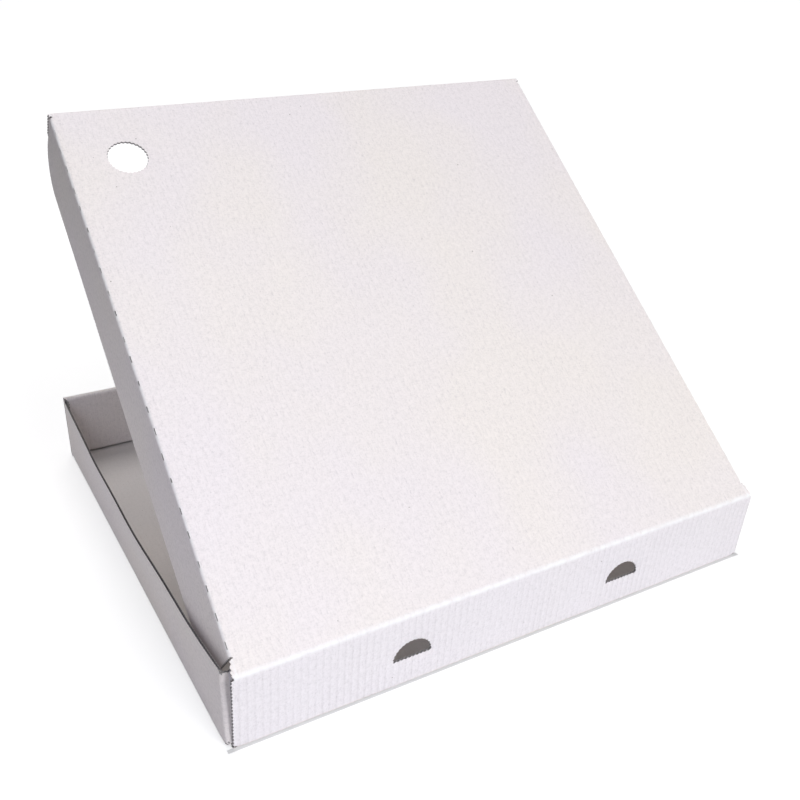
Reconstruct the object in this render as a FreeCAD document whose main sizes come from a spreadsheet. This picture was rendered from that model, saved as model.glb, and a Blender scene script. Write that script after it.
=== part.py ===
import FreeCAD, Part
import math
import os
import Sketcher

# One-piece folded pizza box: a tray with a roll-over front wall, and the lid that
# hinges on the crease along the top of its rear wall. Millimetres and degrees.
# The origin is the centre of the tray's underside, the front faces -Y, up is +Z.

SIZES = {
    # board
    "board": 1.5,
    "crease_radius": 0.8,
    "layer_gap": 0.3,
    # outside of the closed box
    "box_width": 303,
    "box_depth": 306,
    "box_height": 43,
    # tray walls
    "side_wall_height": 41.2,
    "front_wall_height": 43,
    "end_setback": 2.5,
    "rear_lean": 7.5,
    "front_corner_flap_length": 70,
    "rear_corner_flap_length": 48,
    "corner_flap_round": 12,
    "corner_relief": 2,
    # half-moon vents in the rear wall
    "vent_radius": 9.8,
    "vent_rise": 17.2,
    "vent_spacing": 124,
    # tabs that lock the roll-over front into the floor
    "tab_width": 34,
    "tab_taper": 2,
    "tab_spacing": 150,
    "tab_foot": 0.3,
    # lid
    "lid_angle": 39.3,
    "lid_gap": 0.3,
    "flap_splay": 4,
    "flap_foot_gap": 2.5,
    "flap_end_gap": 1,
    "flap_front_round": 22,
    "flap_rear_round": 10,
    "front_flap_depth": 24,
    "front_flap_round": 10,
    "front_flap_slack": 0.3,
    "hole_radius": 10,
    "hole_from_side": 32,
    "hole_from_front": 34,
}

doc = FreeCAD.newDocument("pizza_box")
sizes = doc.addObject("Spreadsheet::Sheet", "sizes")
for row, (alias, size) in enumerate(SIZES.items(), start=1):
    sizes.set(f"A{row}", alias)
    sizes.set(f"B{row}", str(size))
    sizes.setAlias(f"B{row}", alias)
doc.recompute()

# Places that several pieces share, as formulas on the sheet

OUTER_BEND = "(sizes.crease_radius + sizes.board)"
MIDDLE_BEND = "(sizes.crease_radius + sizes.board / 2)"
HALF_DEPTH = "(sizes.box_depth / 2)"
HALF_WIDTH = "(sizes.box_width / 2)"
END_WALL_WIDTH = "(sizes.box_width - 2 * sizes.end_setback)"
LAYER_STEP = "(sizes.board + sizes.layer_gap)"

# side walls run straight between the bends of their corner flaps
SIDE_RUN = f"(sizes.box_depth - 2 * ({LAYER_STEP} + {OUTER_BEND}))"
CORNER_FLAP_FACE = f"({HALF_DEPTH} - {LAYER_STEP})"

# the roll-over front wraps one layer of corner flap with a gap on each side
ROLL_SPACE = "(sizes.board + 2 * sizes.layer_gap)"
ROLL_RADIUS = f"({ROLL_SPACE} / 4)"
ROLL_INNER_FACE = f"({HALF_DEPTH} - 2 * sizes.board - {ROLL_SPACE})"
PANEL_FOOT = LAYER_STEP

# the rear wall leans out from its bend up to the hinge axis
BEND_CENTRE = f"({HALF_DEPTH} - {OUTER_BEND})"
HINGE_HEIGHT = "(sizes.box_height - sizes.board / 2)"
REAR_RUN = (
    f"(({HINGE_HEIGHT} - {OUTER_BEND} + {MIDDLE_BEND} * sin(sizes.rear_lean))"
    " / cos(sizes.rear_lean))"
)
HINGE_PLACE = (
    f"({BEND_CENTRE} + {MIDDLE_BEND} * cos(sizes.rear_lean)"
    f" + {REAR_RUN} * sin(sizes.rear_lean))"
)

# the lid is measured from the hinge axis and drops inside the walls
NOSE_STEP = "(sizes.board + sizes.lid_gap)"
LID_LENGTH = f"({HINGE_PLACE} + {ROLL_INNER_FACE} - sizes.lid_gap)"
FLAP_START = (
    f"({HINGE_PLACE} - {CORNER_FLAP_FACE} + sizes.board + sizes.lid_gap)"
)
FLAP_DEPTH = "(sizes.box_height - sizes.board - sizes.flap_foot_gap)"
FRONT_LEAN = (
    f"(asin(sizes.front_flap_depth / (2 * {LID_LENGTH})) / 1 deg + sizes.front_flap_slack)"
)
FLAP_END = (
    f"({LID_LENGTH} - sizes.front_flap_depth * sin({FRONT_LEAN}) - sizes.board"
    " - sizes.flap_end_gap)"
)
FLAP_REACH = "(sizes.box_width / 2 - sizes.board - sizes.lid_gap)"
FOLD_HALF = f"({FLAP_REACH} - {FLAP_DEPTH} * sin(sizes.flap_splay))"
FOLD_SETBACK = f"({OUTER_BEND} * tan((90 - sizes.flap_splay) / 2))"

RIGHT_ANGLE = 90
HALF_TURN = 180
ORIGIN = -1


def number(formula):
    """Number that a formula on the sheet gives now."""
    result = sizes.evalExpression(formula)
    return getattr(result, "Value", result)


def new_body(name):
    """Body whose label names its file."""
    body = doc.addObject("PartDesign::Body", name)
    body.Label = name
    return body


def new_sketch(body, name, role, out="0", up="0", tilt="0"):
    """Sketch on an origin plane, moved out along its normal, up in it and tilted."""
    sketch = body.newObject("Sketcher::SketchObject", name)
    plane = next(face for face in body.Origin.OriginFeatures if face.Role == role)
    sketch.AttachmentSupport = [(plane, "")]
    sketch.MapMode = "FlatFace"
    turn = FreeCAD.Rotation(FreeCAD.Vector(1, 0, 0), 1)
    sketch.AttachmentOffset = FreeCAD.Placement(FreeCAD.Vector(), turn)
    sketch.setExpression("AttachmentOffset.Base.z", out)
    sketch.setExpression("AttachmentOffset.Base.y", up)
    sketch.setExpression("AttachmentOffset.Rotation.Angle", tilt)
    return sketch


def add_rule(sketch, kind, *terms, formula=None):
    """Constraint, bound to a formula where it has a size."""
    if formula is None:
        sketch.addConstraint(Sketcher.Constraint(kind, *terms))
        return
    value = number(formula)
    if kind == "Angle":
        value = math.radians(value)
    index = sketch.addConstraint(Sketcher.Constraint(kind, *terms, value))
    name = f"size_{index}"
    sketch.renameConstraint(index, name)
    sketch.setExpression(f"Constraints.{name}", formula)


def pin(sketch, edge, end, across, up):
    """Hold one end of an edge at the place that two formulas give."""
    for kind, formula in (("DistanceX", across), ("DistanceY", up)):
        if number(formula) < 0:
            add_rule(sketch, kind, edge, end, ORIGIN, 1, formula=f"-1 * ({formula})")
        else:
            add_rule(sketch, kind, ORIGIN, 1, edge, end, formula=formula)


def add_line(sketch, start, end):
    """Straight edge between two points of the sketch."""
    ends = [FreeCAD.Vector(*point, 0) for point in (start, end)]
    return sketch.addGeometry(Part.LineSegment(*ends), False)


def add_arc(sketch, centre, radius, first, last):
    """Counter-clockwise arc between two angles in degrees."""
    circle = Part.Circle(FreeCAD.Vector(*centre, 0), FreeCAD.Vector(0, 0, 1), radius)
    arc = Part.ArcOfCircle(circle, math.radians(first), math.radians(last))
    return sketch.addGeometry(arc, False)


def along(heading, length):
    """Step of a length at a heading in degrees."""
    angle = math.radians(heading)
    return (length * math.cos(angle), length * math.sin(angle))


def add_points(first, second):
    """Sum of two points."""
    return (first[0] + second[0], first[1] + second[1])


def steer(sketch, line, heading, formula):
    """Hold a straight edge at its heading."""
    if heading % HALF_TURN == 0:
        add_rule(sketch, "Horizontal", line)
    elif heading % RIGHT_ANGLE == 0:
        add_rule(sketch, "Vertical", line)
    else:
        add_rule(sketch, "Angle", line, formula=formula)


def close_end(sketch, left, right, end, rounded):
    """Close one end of a board's section, square or with a half-round nose."""
    first = sketch.getPoint(left, end)
    second = sketch.getPoint(right, end)
    if not rounded:
        cap = add_line(sketch, (first.x, first.y), (second.x, second.y))
        add_rule(sketch, "Coincident", cap, 1, left, end)
        add_rule(sketch, "Coincident", cap, 2, right, end)
        add_rule(sketch, "Perpendicular", cap, left)
        return cap
    middle = (first + second) / 2
    spoke = first - second
    turn = math.degrees(math.atan2(spoke.y, spoke.x))
    begins_left = end == 1
    start = turn if begins_left else turn + HALF_TURN
    cap = add_arc(sketch, (middle.x, middle.y), spoke.Length / 2, start, start + HALF_TURN)
    ends = (1, 2) if begins_left else (2, 1)
    add_rule(sketch, "Tangent", left, end, cap, ends[0])
    add_rule(sketch, "Tangent", right, end, cap, ends[1])
    return cap


def draw_section(sketch, start, runs, radii, round_start=False, round_end=False):
    """Outline of one board that goes straight and bends in turn.

    start is where the left face of the first run begins. Each run is a pair of
    formulas, its length and its heading. Each bend has the formula of its inner radius.
    """
    thickness = number("sizes.board")
    left_point = (number(start[0]), number(start[1]))
    headings = [number(heading) for length, heading in runs]
    lefts = []
    rights = []
    for place, (length, formula) in enumerate(runs):
        heading = headings[place]
        forward = along(heading, number(length))
        right_point = add_points(left_point, along(heading - RIGHT_ANGLE, thickness))
        left = add_line(sketch, left_point, add_points(left_point, forward))
        right = add_line(sketch, right_point, add_points(right_point, forward))
        lefts.append(left)
        rights.append(right)
        steer(sketch, left, heading, formula)
        add_rule(sketch, "Parallel", left, right)
        add_rule(sketch, "Distance", left, formula=length)
        left_point = add_points(left_point, forward)
        if place == len(radii):
            break
        inner = number(radii[place])
        turns_left = headings[place + 1] > heading
        swing = headings[place + 1] - heading
        if turns_left:
            centre = add_points(left_point, along(heading + RIGHT_ANGLE, inner))
            spokes = (heading - RIGHT_ANGLE, heading - RIGHT_ANGLE + swing)
            left_radius = inner
            end_angle = spokes[1]
        else:
            centre = add_points(left_point, along(heading - RIGHT_ANGLE, inner + thickness))
            spokes = (heading + RIGHT_ANGLE + swing, heading + RIGHT_ANGLE)
            left_radius = inner + thickness
            end_angle = spokes[0]
        right_radius = 2 * inner + thickness - left_radius
        left_arc = add_arc(sketch, centre, left_radius, *spokes)
        right_arc = add_arc(sketch, centre, right_radius, *spokes)
        lefts.append(left_arc)
        rights.append(right_arc)
        inner_arc = left_arc if turns_left else right_arc
        add_rule(sketch, "Radius", inner_arc, formula=radii[place])
        add_rule(sketch, "Coincident", left_arc, 3, right_arc, 3)
        left_point = add_points(centre, along(end_angle, left_radius))
    for faces in (lefts, rights):
        for place in range(1, len(faces), 2):
            turns_left = headings[(place + 1) // 2] > headings[(place - 1) // 2]
            near, far = (1, 2) if turns_left else (2, 1)
            add_rule(sketch, "Tangent", faces[place - 1], 2, faces[place], near)
            add_rule(sketch, "Tangent", faces[place + 1], 1, faces[place], far)
    first_cap = close_end(sketch, lefts[0], rights[0], 1, round_start)
    close_end(sketch, lefts[-1], rights[-1], 2, round_end)
    if round_start:
        add_rule(sketch, "Radius", first_cap, formula="sizes.board / 2")
    else:
        add_rule(sketch, "Distance", first_cap, formula="sizes.board")
    pin(sketch, lefts[0], 1, *start)


def draw_corners(sketch, corners):
    """Closed outline of straight edges, with each corner pinned by two formulas."""
    points = [(number(across), number(up)) for across, up in corners]
    edges = []
    for place, point in enumerate(points):
        edges.append(add_line(sketch, point, points[(place + 1) % len(points)]))
    for place, edge in enumerate(edges):
        add_rule(sketch, "Coincident", edge, 2, edges[(place + 1) % len(edges)], 1)
        pin(sketch, edge, 1, *corners[place])


def draw_half_moon(sketch, across, up, radius):
    """Half circle on a level chord whose middle is at the place given."""
    middle = (number(across), number(up))
    reach = number(radius)
    chord = add_line(sketch, (middle[0] - reach, middle[1]), (middle[0] + reach, middle[1]))
    bow = add_arc(sketch, middle, reach, 0, HALF_TURN)
    add_rule(sketch, "Coincident", bow, 1, chord, 2)
    add_rule(sketch, "Coincident", bow, 2, chord, 1)
    add_rule(sketch, "Horizontal", chord)
    add_rule(sketch, "PointOnObject", bow, 3, chord)
    add_rule(sketch, "Radius", bow, formula=radius)
    pin(sketch, bow, 3, across, up)


def draw_circle(sketch, across, up, radius):
    """Circle at the place that two formulas give."""
    middle = FreeCAD.Vector(number(across), number(up), 0)
    ring = Part.Circle(middle, FreeCAD.Vector(0, 0, 1), number(radius))
    circle = sketch.addGeometry(ring, False)
    add_rule(sketch, "Radius", circle, formula=radius)
    pin(sketch, circle, 3, across, up)


def add_board(body, name, sketch, length, both_ways=False):
    """Pad of a sketch by the length that a formula gives."""
    pad = body.newObject("PartDesign::Pad", name)
    pad.Profile = sketch
    pad.SideType = "Symmetric" if both_ways else "One side"
    pad.setExpression("Length", length)
    doc.recompute()
    return pad


def cut_board(body, name, sketch, length, both_ways=False):
    """Pocket of a sketch, checked to take material away."""
    before = body.Shape.Volume
    pocket = body.newObject("PartDesign::Pocket", name)
    pocket.Profile = sketch
    pocket.SideType = "Symmetric" if both_ways else "One side"
    pocket.setExpression("Length", length)
    doc.recompute()
    if body.Shape.Volume >= before:
        raise RuntimeError(f"{name} cuts nothing")
    return pocket


def mirror_features(body, name, features):
    """Repeat features on the other side of the box's middle plane."""
    plane = next(face for face in body.Origin.OriginFeatures if face.Role == "YZ_Plane")
    mirrored = body.newObject("PartDesign::Mirrored", name)
    mirrored.Originals = features
    mirrored.MirrorPlane = (plane, [""])
    body.Tip = mirrored
    doc.recompute()
    return mirrored


def short_edges(shape, accepts):
    """Names of the edges as long as the board is thick whose middle is accepted."""
    names = []
    for place, edge in enumerate(shape.Edges, start=1):
        thin = math.isclose(edge.Length, number("sizes.board"), abs_tol=1e-3)
        if thin and accepts(edge.CenterOfMass):
            names.append(f"Edge{place}")
    return names


def round_corners(body, name, radius, count, accepts):
    """Fillet the corners of a flap across the board's thickness."""
    base = body.Tip
    edges = short_edges(base.Shape, accepts)
    if len(edges) != count:
        raise RuntimeError(f"{name} found {len(edges)} corners, not {count}")
    fillet = body.newObject("PartDesign::Fillet", name)
    fillet.Base = (base, edges)
    fillet.setExpression("Radius", radius)
    doc.recompute()
    return fillet


def make_tray():
    """Floor, side walls with corner flaps, leaning rear wall and roll-over front."""
    tray = new_body("tray")

    # floor and side walls
    section = new_sketch(tray, "side_section", "XZ_Plane")
    wall = f"(sizes.side_wall_height - {OUTER_BEND})"
    draw_section(
        section,
        (f"-1 * {HALF_WIDTH} + sizes.board", "sizes.side_wall_height"),
        [(wall, "-90"), (f"sizes.box_width - 2 * {OUTER_BEND}", "0"), (wall, "90")],
        ["sizes.crease_radius", "sizes.crease_radius"],
    )
    add_board(tray, "floor_and_sides", section, SIDE_RUN, both_ways=True)

    # corner flaps, folded in from the ends of one side wall
    # the rear ones are shorter, as the lid's side flaps lie next to them on the flat blank
    plan = new_sketch(tray, "corner_flap_plan", "XY_Plane", out=OUTER_BEND)
    rear_run = f"(sizes.rear_corner_flap_length - {OUTER_BEND})"
    front_run = f"(sizes.front_corner_flap_length - {OUTER_BEND})"
    draw_section(
        plan,
        (f"{HALF_WIDTH} - sizes.rear_corner_flap_length", CORNER_FLAP_FACE),
        [(rear_run, "0"), (SIDE_RUN, "-90"), (front_run, "-180")],
        ["sizes.crease_radius", "sizes.crease_radius"],
    )
    flap_rise = f"sizes.side_wall_height - {OUTER_BEND}"
    flaps = add_board(tray, "corner_flaps", plan, flap_rise)
    mirror_features(tray, "corner_flaps_other_side", [flaps])
    free_ends = [
        number(f"{HALF_WIDTH} - sizes.rear_corner_flap_length"),
        number(f"{HALF_WIDTH} - sizes.front_corner_flap_length"),
    ]
    round_corners(
        tray, "corner_flap_rounds", "sizes.corner_flap_round", 8,
        lambda middle: any(math.isclose(abs(middle.x), end, abs_tol=1e-3) for end in free_ends),
    )

    # rear wall, with the hinge crease as a rounded top edge
    rear = new_sketch(tray, "rear_section", "YZ_Plane")
    draw_section(
        rear,
        (f"{SIDE_RUN} / 2", "sizes.board"),
        [(LAYER_STEP, "0"), (REAR_RUN, "90 - sizes.rear_lean")],
        ["sizes.crease_radius"],
        round_end=True,
    )
    add_board(tray, "rear_wall", rear, END_WALL_WIDTH, both_ways=True)

    # front wall, rolled over the corner flaps and down to the floor
    front = new_sketch(tray, "front_section", "YZ_Plane")
    outer_run = f"(sizes.front_wall_height - {OUTER_BEND} - sizes.board - {ROLL_RADIUS})"
    inner_run = f"(sizes.front_wall_height - sizes.board - {ROLL_RADIUS} - {PANEL_FOOT})"
    draw_section(
        front,
        (f"-1 * {SIDE_RUN} / 2", "0"),
        [
            (LAYER_STEP, "180"),
            (outer_run, "90"),
            (f"{ROLL_SPACE} - 2 * {ROLL_RADIUS}", "0"),
            (inner_run, "-90"),
        ],
        ["sizes.crease_radius", ROLL_RADIUS, ROLL_RADIUS],
    )
    add_board(tray, "front_wall", front, END_WALL_WIDTH, both_ways=True)

    # locking tabs of the inner front panel, in slots through the floor
    half_tab = "sizes.tab_width / 2"
    half_slot = f"({half_tab} + sizes.layer_gap)"
    slot_near = f"(-1 * {ROLL_INNER_FACE} + sizes.layer_gap)"
    slot_far = f"(-1 * {ROLL_INNER_FACE} - sizes.board - sizes.layer_gap)"
    slot_sketch = new_sketch(tray, "slot_outline", "XY_Plane")
    middle = "sizes.tab_spacing / 2"
    draw_corners(slot_sketch, [
        (f"{middle} - {half_slot}", slot_far),
        (f"{middle} + {half_slot}", slot_far),
        (f"{middle} + {half_slot}", slot_near),
        (f"{middle} - {half_slot}", slot_near),
    ])
    slot = cut_board(tray, "floor_slot", slot_sketch, "2 * sizes.board", both_ways=True)
    tab_sketch = new_sketch(tray, "tab_outline", "XZ_Plane", out=ROLL_INNER_FACE)
    draw_corners(tab_sketch, [
        (f"{middle} - {half_tab} + sizes.tab_taper", "sizes.tab_foot"),
        (f"{middle} + {half_tab} - sizes.tab_taper", "sizes.tab_foot"),
        (f"{middle} + {half_tab}", PANEL_FOOT),
        (f"{middle} - {half_tab}", PANEL_FOOT),
    ])
    tab = add_board(tray, "locking_tab", tab_sketch, "sizes.board")
    mirror_features(tray, "tab_other_side", [slot, tab])

    # half-moon vent and the relieved top corner, square to the leaning wall
    in_wall = {"out": f"-1 * {BEND_CENTRE}", "up": OUTER_BEND, "tilt": "-1 * sizes.rear_lean"}
    vent_sketch = new_sketch(tray, "vent_outline", "XZ_Plane", **in_wall)
    rise = f"(sizes.vent_rise - {OUTER_BEND})"
    draw_half_moon(vent_sketch, "sizes.vent_spacing / 2", rise, "sizes.vent_radius")
    through_wall = f"{OUTER_BEND} + sizes.board"
    vent = cut_board(tray, "vent", vent_sketch, through_wall)
    relief_sketch = new_sketch(tray, "relief_outline", "XZ_Plane", **in_wall)
    raw_end = f"{END_WALL_WIDTH} / 2"
    crest = f"({REAR_RUN} + sizes.board)"
    relief_foot = f"({REAR_RUN} - sizes.corner_relief)"
    draw_corners(relief_sketch, [
        (f"{raw_end} - sizes.corner_relief", crest),
        (f"{raw_end} + sizes.corner_relief", crest),
        (f"{raw_end} + sizes.corner_relief", relief_foot),
        (raw_end, relief_foot),
    ])
    relief = cut_board(tray, "corner_relief", relief_sketch, through_wall)
    mirror_features(tray, "vent_other_side", [vent, relief])
    return tray


def make_lid():
    """Lid panel with splayed side flaps, a front flap and one round hole."""
    lid = new_body("lid")
    top = "sizes.board / 2"
    under = "-1 * sizes.board / 2"

    # panel and side flaps
    section = new_sketch(lid, "flap_section", "XZ_Plane", out=FLAP_START)
    flap_run = f"({FLAP_DEPTH} - {FOLD_SETBACK})"
    draw_section(
        section,
        (f"-1 * {FLAP_REACH}", f"{top} - {FLAP_DEPTH} * cos(sizes.flap_splay)"),
        [
            (flap_run, "90 - sizes.flap_splay"),
            (f"2 * ({FOLD_HALF} - {FOLD_SETBACK})", "0"),
            (flap_run, "sizes.flap_splay - 90"),
        ],
        ["sizes.crease_radius", "sizes.crease_radius"],
    )
    add_board(lid, "panel_and_side_flaps", section, f"{FLAP_END} - {FLAP_START}")

    # strip along the hinge crease, with a rounded edge that follows the rear wall's
    strip = new_sketch(lid, "hinge_section", "YZ_Plane")
    draw_section(
        strip,
        (f"-1 * {NOSE_STEP}", under),
        [(f"{FLAP_START} - {NOSE_STEP}", "180")],
        [],
        round_start=True,
    )
    add_board(lid, "hinge_strip", strip, END_WALL_WIDTH, both_ways=True)

    # front flap, leaned in along the chord that its foot swings through, and its fold
    fold = new_sketch(lid, "front_section", "YZ_Plane")
    front_run = f"(sizes.front_flap_depth - {OUTER_BEND})"
    draw_section(
        fold,
        (
            f"{OUTER_BEND} * (1 - cos({FRONT_LEAN})) + {front_run} * sin({FRONT_LEAN})"
            f" - {LID_LENGTH}",
            f"{top} - {OUTER_BEND} * (1 + sin({FRONT_LEAN})) - {front_run} * cos({FRONT_LEAN})",
        ),
        [
            (front_run, f"90 + {FRONT_LEAN}"),
            (f"{LID_LENGTH} - {OUTER_BEND} - {FLAP_END}", "0"),
        ],
        ["sizes.crease_radius"],
    )
    add_board(lid, "front_flap", fold, END_WALL_WIDTH, both_ways=True)

    # flap corners
    def corner_between(near, far):
        """Test for lower corners at a distance from the hinge between two formulas."""
        low = number(f"-1 * {FLAP_DEPTH} / 2")
        reach = (number(near), number(far))
        return lambda middle: middle.z < low and reach[0] <= -middle.y <= reach[1]

    hair = "sizes.lid_gap / 2"
    round_corners(
        lid, "flap_front_rounds", "sizes.flap_front_round", 2,
        corner_between(f"{FLAP_END} - {hair}", f"{FLAP_END} + {hair}"),
    )
    round_corners(
        lid, "flap_rear_rounds", "sizes.flap_rear_round", 2,
        corner_between(f"{FLAP_START} - {hair}", f"{FLAP_START} + {hair}"),
    )
    free_end = number(f"{END_WALL_WIDTH} / 2")
    half_way = number("-1 * sizes.front_flap_depth / 2")
    round_corners(
        lid, "front_flap_rounds", "sizes.front_flap_round", 2,
        lambda middle: middle.z < half_way
        and math.isclose(abs(middle.x), free_end, abs_tol=1e-3),
    )

    # round hole near the front corner
    hole_sketch = new_sketch(lid, "hole_outline", "XY_Plane")
    draw_circle(
        hole_sketch,
        f"{FOLD_HALF} - sizes.hole_from_side",
        f"sizes.hole_from_front - {LID_LENGTH}",
        "sizes.hole_radius",
    )
    cut_board(lid, "round_hole", hole_sketch, "2 * sizes.board", both_ways=True)

    # open on the hinge axis
    opening_turn = FreeCAD.Rotation(FreeCAD.Vector(-1, 0, 0), number("sizes.lid_angle"))
    lid.Placement = FreeCAD.Placement(FreeCAD.Vector(), opening_turn)
    lid.setExpression("Placement.Base.y", HINGE_PLACE)
    lid.setExpression("Placement.Base.z", HINGE_HEIGHT)
    lid.setExpression("Placement.Rotation.Angle", "sizes.lid_angle")
    return lid


pieces = [make_tray(), make_lid()]
doc.recompute()

for item in doc.Objects:
    if "Invalid" in item.State or "Error" in item.State:
        raise RuntimeError(f"{item.Name} failed: {item.State}")
for piece in pieces:
    if piece.Shape.isNull() or not piece.Shape.isValid():
        raise RuntimeError(f"{piece.Label} has no valid shape")
    if len(piece.Shape.Solids) != 1:
        raise RuntimeError(f"{piece.Label} is not one solid")

os.makedirs("parts", exist_ok=True)
for piece in pieces:
    piece.Shape.exportStep(f"parts/{piece.Label}.step")
    box = piece.Shape.BoundBox
    print(
        f"{piece.Label}: {piece.Shape.Volume:.0f} mm3,"
        f" x {box.XMin:.2f}..{box.XMax:.2f},"
        f" y {box.YMin:.2f}..{box.YMax:.2f},"
        f" z {box.ZMin:.2f}..{box.ZMax:.2f}"
    )
print(f"hinge axis at y {number(HINGE_PLACE):.4f}, z {number(HINGE_HEIGHT):.4f}")
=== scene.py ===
import logging
import math
from dataclasses import dataclass, field
from enum import Enum
from typing import Iterable, Mapping, Optional, Sequence, Union

import bmesh
import bpy
import numpy as np
from mathutils import Matrix, Vector
from mathutils.geometry import delaunay_2d_cdt


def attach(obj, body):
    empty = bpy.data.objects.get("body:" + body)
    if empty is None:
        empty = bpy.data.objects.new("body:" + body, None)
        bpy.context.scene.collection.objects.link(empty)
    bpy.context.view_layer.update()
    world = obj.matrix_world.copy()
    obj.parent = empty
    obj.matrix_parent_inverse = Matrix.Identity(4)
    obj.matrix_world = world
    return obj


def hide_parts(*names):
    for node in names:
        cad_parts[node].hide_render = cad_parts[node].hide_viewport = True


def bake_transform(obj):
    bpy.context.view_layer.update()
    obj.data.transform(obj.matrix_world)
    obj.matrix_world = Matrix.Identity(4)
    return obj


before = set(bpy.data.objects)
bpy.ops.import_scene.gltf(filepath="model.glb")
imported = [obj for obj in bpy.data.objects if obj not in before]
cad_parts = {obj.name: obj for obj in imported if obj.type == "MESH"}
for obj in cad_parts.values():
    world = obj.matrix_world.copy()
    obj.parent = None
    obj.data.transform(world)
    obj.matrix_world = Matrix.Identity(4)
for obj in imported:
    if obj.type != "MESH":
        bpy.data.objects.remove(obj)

# One die-cut blank of white-lined, fine-fluted board, folded into a pizza box. Every point
# of the blank is measured in millimetres: across the flutes, along them, and out of the
# board towards its white side. The blank is folded at its creases into the box's frame.

MM = 0.001
BLANK_MAP = "blank"
CHUNK = 1500  # points tested at a time
WAVES = 7  # waves that make up an unevenness
WAVES_HEIGHT = 2.6  # their usual height together
MERGE = 2e-7  # points closer than this, in metres, become one
SHARP = math.radians(38)  # a sharper turn than this shows as an edge

log = logging.getLogger("pizza_box")

Array = np.ndarray
Piece = bpy.types.Object
Colour = tuple[float, float, float]
Input = Union["Value", float, Sequence[float], bpy.types.NodeSocket]


def from_screen(picked: Colour) -> Colour:
    """Linear colour of a colour given as on a screen, each part from 0 to 255."""
    parts = [part / 255 for part in picked]
    return tuple(p / 12.92 if p <= 0.04045 else ((p + 0.055) / 1.055) ** 2.4 for p in parts)


class Edge(Enum):
    """How the blank ends along one side of its outline."""

    DIE_CUT = "toothed by the cutting rule"
    SLIT = "cut clean by a short knife"
    PRESSED = "pinched shut by a blunt knife, so that no fluting shows"
    JOINED = "carried on by the next piece of the same board"


class Face(Enum):
    """Which finish a face of the board takes, by its place in the list of materials."""

    WHITE = 0
    GREY = 1
    RAW = 2


# Sizes


@dataclass(frozen=True)
class Board:
    """The board itself, in millimetres: its layers, its bends and how it is cut."""

    thickness: float = 1.5
    crease_radius: float = 0.8
    fold_radius: float = 0.2
    liner: float = 0.24
    medium: float = 0.14
    flute_pitch: float = 3.5
    groove: float = 1.9
    tooth_pitch: float = 2.0
    tooth_depth: float = 0.6
    crush: float = 0.2
    sample: float = 0.45
    cell: float = 6.0
    hair: float = 0.05
    slit: float = 0.35
    room: float = 0.9
    pressed_room: float = 0.3
    medium_rows: tuple[float, ...] = (0.72, 0.9, 1.4, 2.0)

    @property
    def half(self) -> float:
        """Half the board's thickness."""
        return self.thickness / 2

    @property
    def middle_bend(self) -> float:
        """Radius of the board's middle at a crease."""
        return self.crease_radius + self.half

    @property
    def outer_bend(self) -> float:
        """Radius of the board's outside at a crease."""
        return self.crease_radius + self.thickness

    @property
    def middle_fold(self) -> float:
        """Radius of the board's middle at the lid's creases, which are pressed sharper."""
        return self.fold_radius + self.half

    @property
    def outer_fold(self) -> float:
        """Radius of the board's outside at the lid's creases."""
        return self.fold_radius + self.thickness


@dataclass(frozen=True)
class Crease:
    """Where a crease starts, how far it turns, how tightly, and the board it takes up."""

    start: float
    turn: float
    radius: float
    length: float

    @classmethod
    def of(cls, start: float, turn: float, radius: float) -> "Crease":
        """Crease that takes up as much board as its arc is long."""
        return cls(start, turn, radius, radius * math.radians(turn))

    @property
    def end(self) -> float:
        """Where the board runs straight again."""
        return self.start + self.length

    def bend(self, along: Array, out: Array) -> tuple[Array, Array]:
        """Folds the board that lies past the crease.

        Args:
            along: distances on the blank, square to the crease.
            out: distances out of the board's middle, towards its white side.

        Returns:
            The same two distances, measured in the panel before the crease.
        """
        turn = math.radians(self.turn)
        angle = np.clip((along - self.start) / self.length, 0, 1) * turn
        before = np.minimum(along - self.start, 0)
        past = np.maximum(along - self.end, 0)
        reach = self.radius + out
        return (
            self.start + before + reach * np.sin(angle) + past * np.cos(angle),
            reach * np.cos(angle) - self.radius - past * np.sin(angle),
        )


@dataclass(frozen=True)
class BoxSizes:
    """Sizes of the folded box in millimetres and degrees.

    The solids have them too, but for the last ones, which are the give of handled board.
    """

    width: float = 303
    depth: float = 306
    height: float = 43
    side_wall: float = 41.2
    layer_gap: float = 0.3
    end_half: float = 149
    rear_lean: float = 7.5
    front_corner_flap: float = 70
    rear_corner_flap: float = 48
    corner_round: float = 12
    vent_radius: float = 9.8
    vent_rise: float = 17.2
    vent_half_spacing: float = 62
    tab_half: float = 17
    tab_taper: float = 2
    tab_half_spacing: float = 75
    tab_length: float = 1.5
    foot_gap: float = 0.6
    lid_angle: float = 39.3
    lid_gap: float = 0.3
    flap_splay: float = 4
    flap_depth: float = 39
    front_flap_depth: float = 24
    front_lean: float = 2.554
    flap_end_gap: float = 1
    front_round: float = 22
    rear_round: float = 10
    front_flap_round: float = 10
    hole_radius: float = 10
    hole_from_side: float = 32
    hole_from_front: float = 34
    joint_reach: float = 5
    front_half: float = 151.2
    wall_bow: float = 3.2
    wall_rise: float = 1.6
    rise_from: float = 90
    sway: float = 0.12
    lid_spread: float = 1.2
    lid_front_half: float = 147.2
    nick_spacing: float = 12.7
    nick_half: float = 1.9
    nick_point: float = 0.4
    notch: float = 0.9
    notch_flat: float = 0.4
    notch_mouth: float = 1.2

    @property
    def ear_half(self) -> float:
        """Half the lid's width where the hinge band ends."""
        return self.end_half - self.joint_reach / 4


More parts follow.
